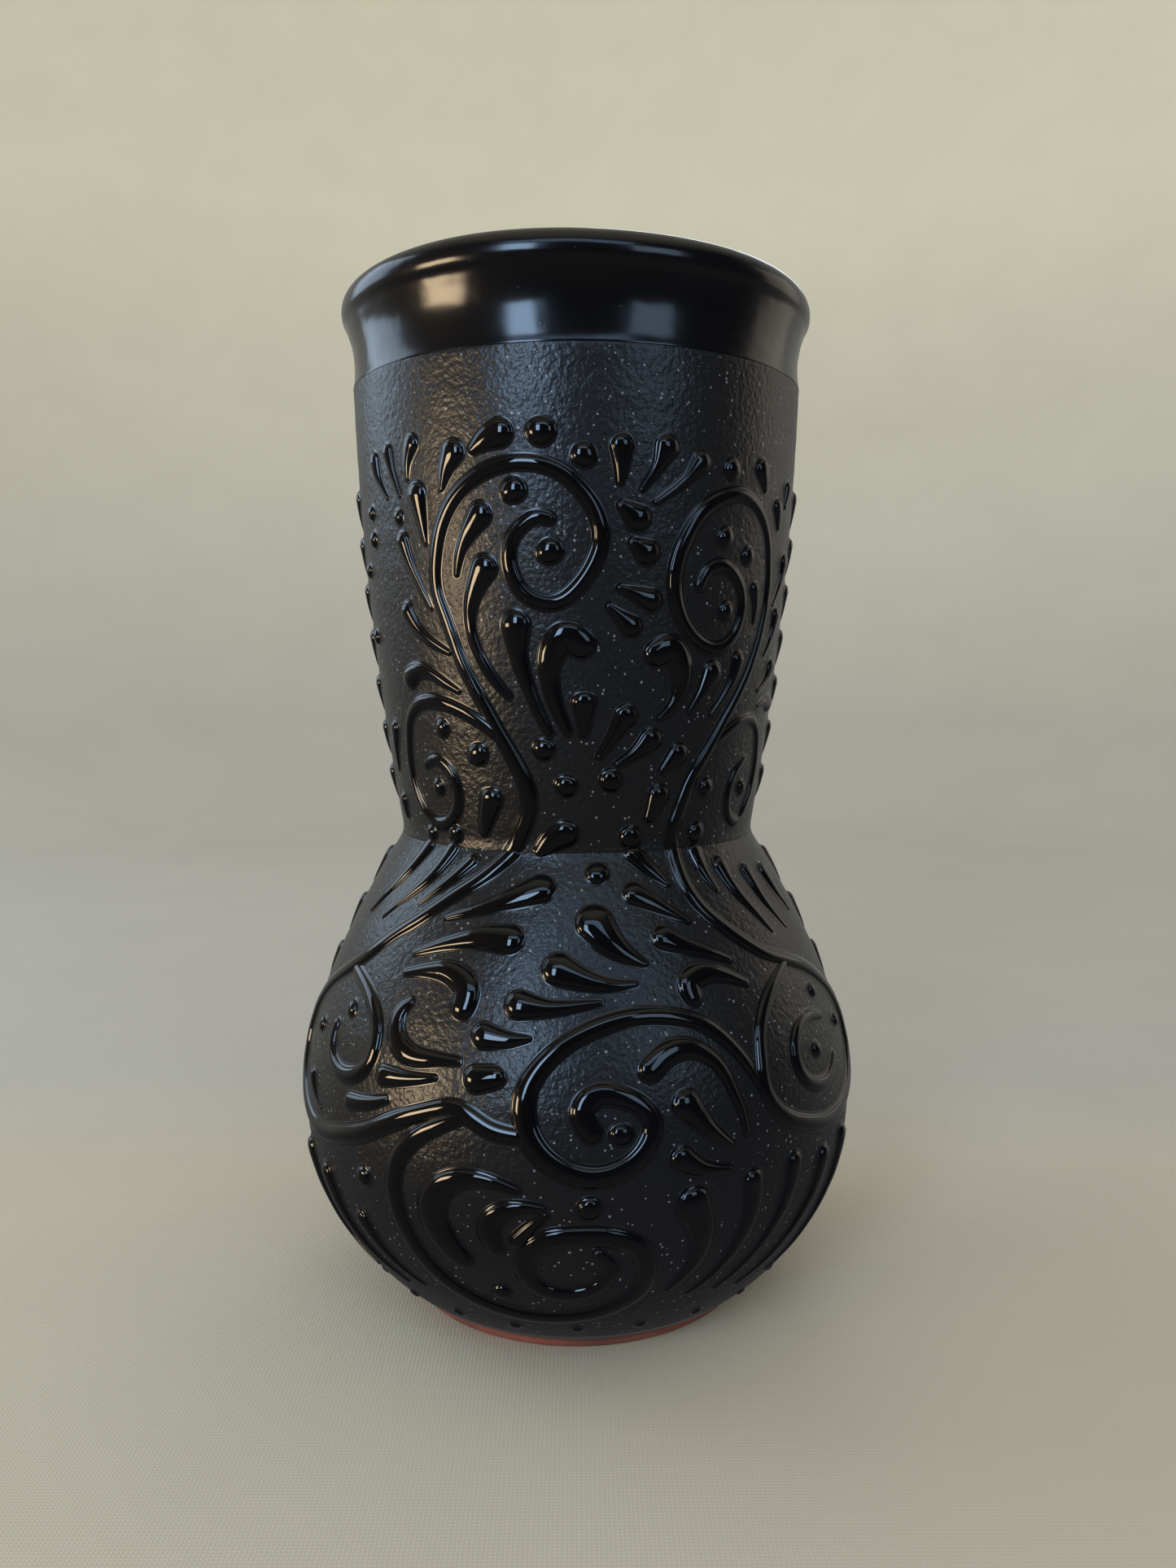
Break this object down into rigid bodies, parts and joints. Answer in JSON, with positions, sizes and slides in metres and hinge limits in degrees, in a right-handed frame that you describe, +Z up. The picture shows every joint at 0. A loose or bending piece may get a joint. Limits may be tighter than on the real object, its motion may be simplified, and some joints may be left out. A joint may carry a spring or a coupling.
{
  "type": "clay pot",
  "caption": "Footed clay vase with a round bulb, pinched waist and flaring neck, black glaze over red clay, raised trailed scrolls, drops and dots",
  "frame": {"origin": "middle of the foot ring, on the surface the vase stands on", "axes": "+Z up along the vase's axis, -Y towards the decorated front, +X to its right"},
  "size_m": [0.1452, 0.1456, 0.2514],
  "materials": {
    "clay_bulb": "bare red earthenware",
    "clay_neck": "bare red earthenware",
    "foot_glaze": "gloss blue black",
    "bulb_slip": "satin black with fine sparkle",
    "neck_slip": "satin black with fine sparkle",
    "rim_glaze": "gloss black",
    "inner_glaze": "gloss black",
    "neck_scrolls": "mirror gloss black",
    "neck_drops": "mirror gloss black",
    "neck_dots": "mirror gloss black",
    "bulb_scrolls": "mirror gloss black",
    "bulb_drops": "mirror gloss black",
    "bulb_dots": "mirror gloss black",
    "foot_dots": "gloss black"
  },
  "bodies": {
    "root": {"clay_bulb": "clay_bulb", "clay_neck": "clay_neck", "foot_glaze": "foot_glaze", "bulb_slip": "bulb_slip", "neck_slip": "neck_slip", "rim_glaze": "rim_glaze", "inner_glaze": "inner_glaze", "neck_scrolls": "neck_scrolls", "neck_drops": "neck_drops", "neck_dots": "neck_dots", "bulb_scrolls": "bulb_scrolls", "bulb_drops": "bulb_drops", "bulb_dots": "bulb_dots", "foot_dots": "foot_dots"}
  },
  "joints": []
}
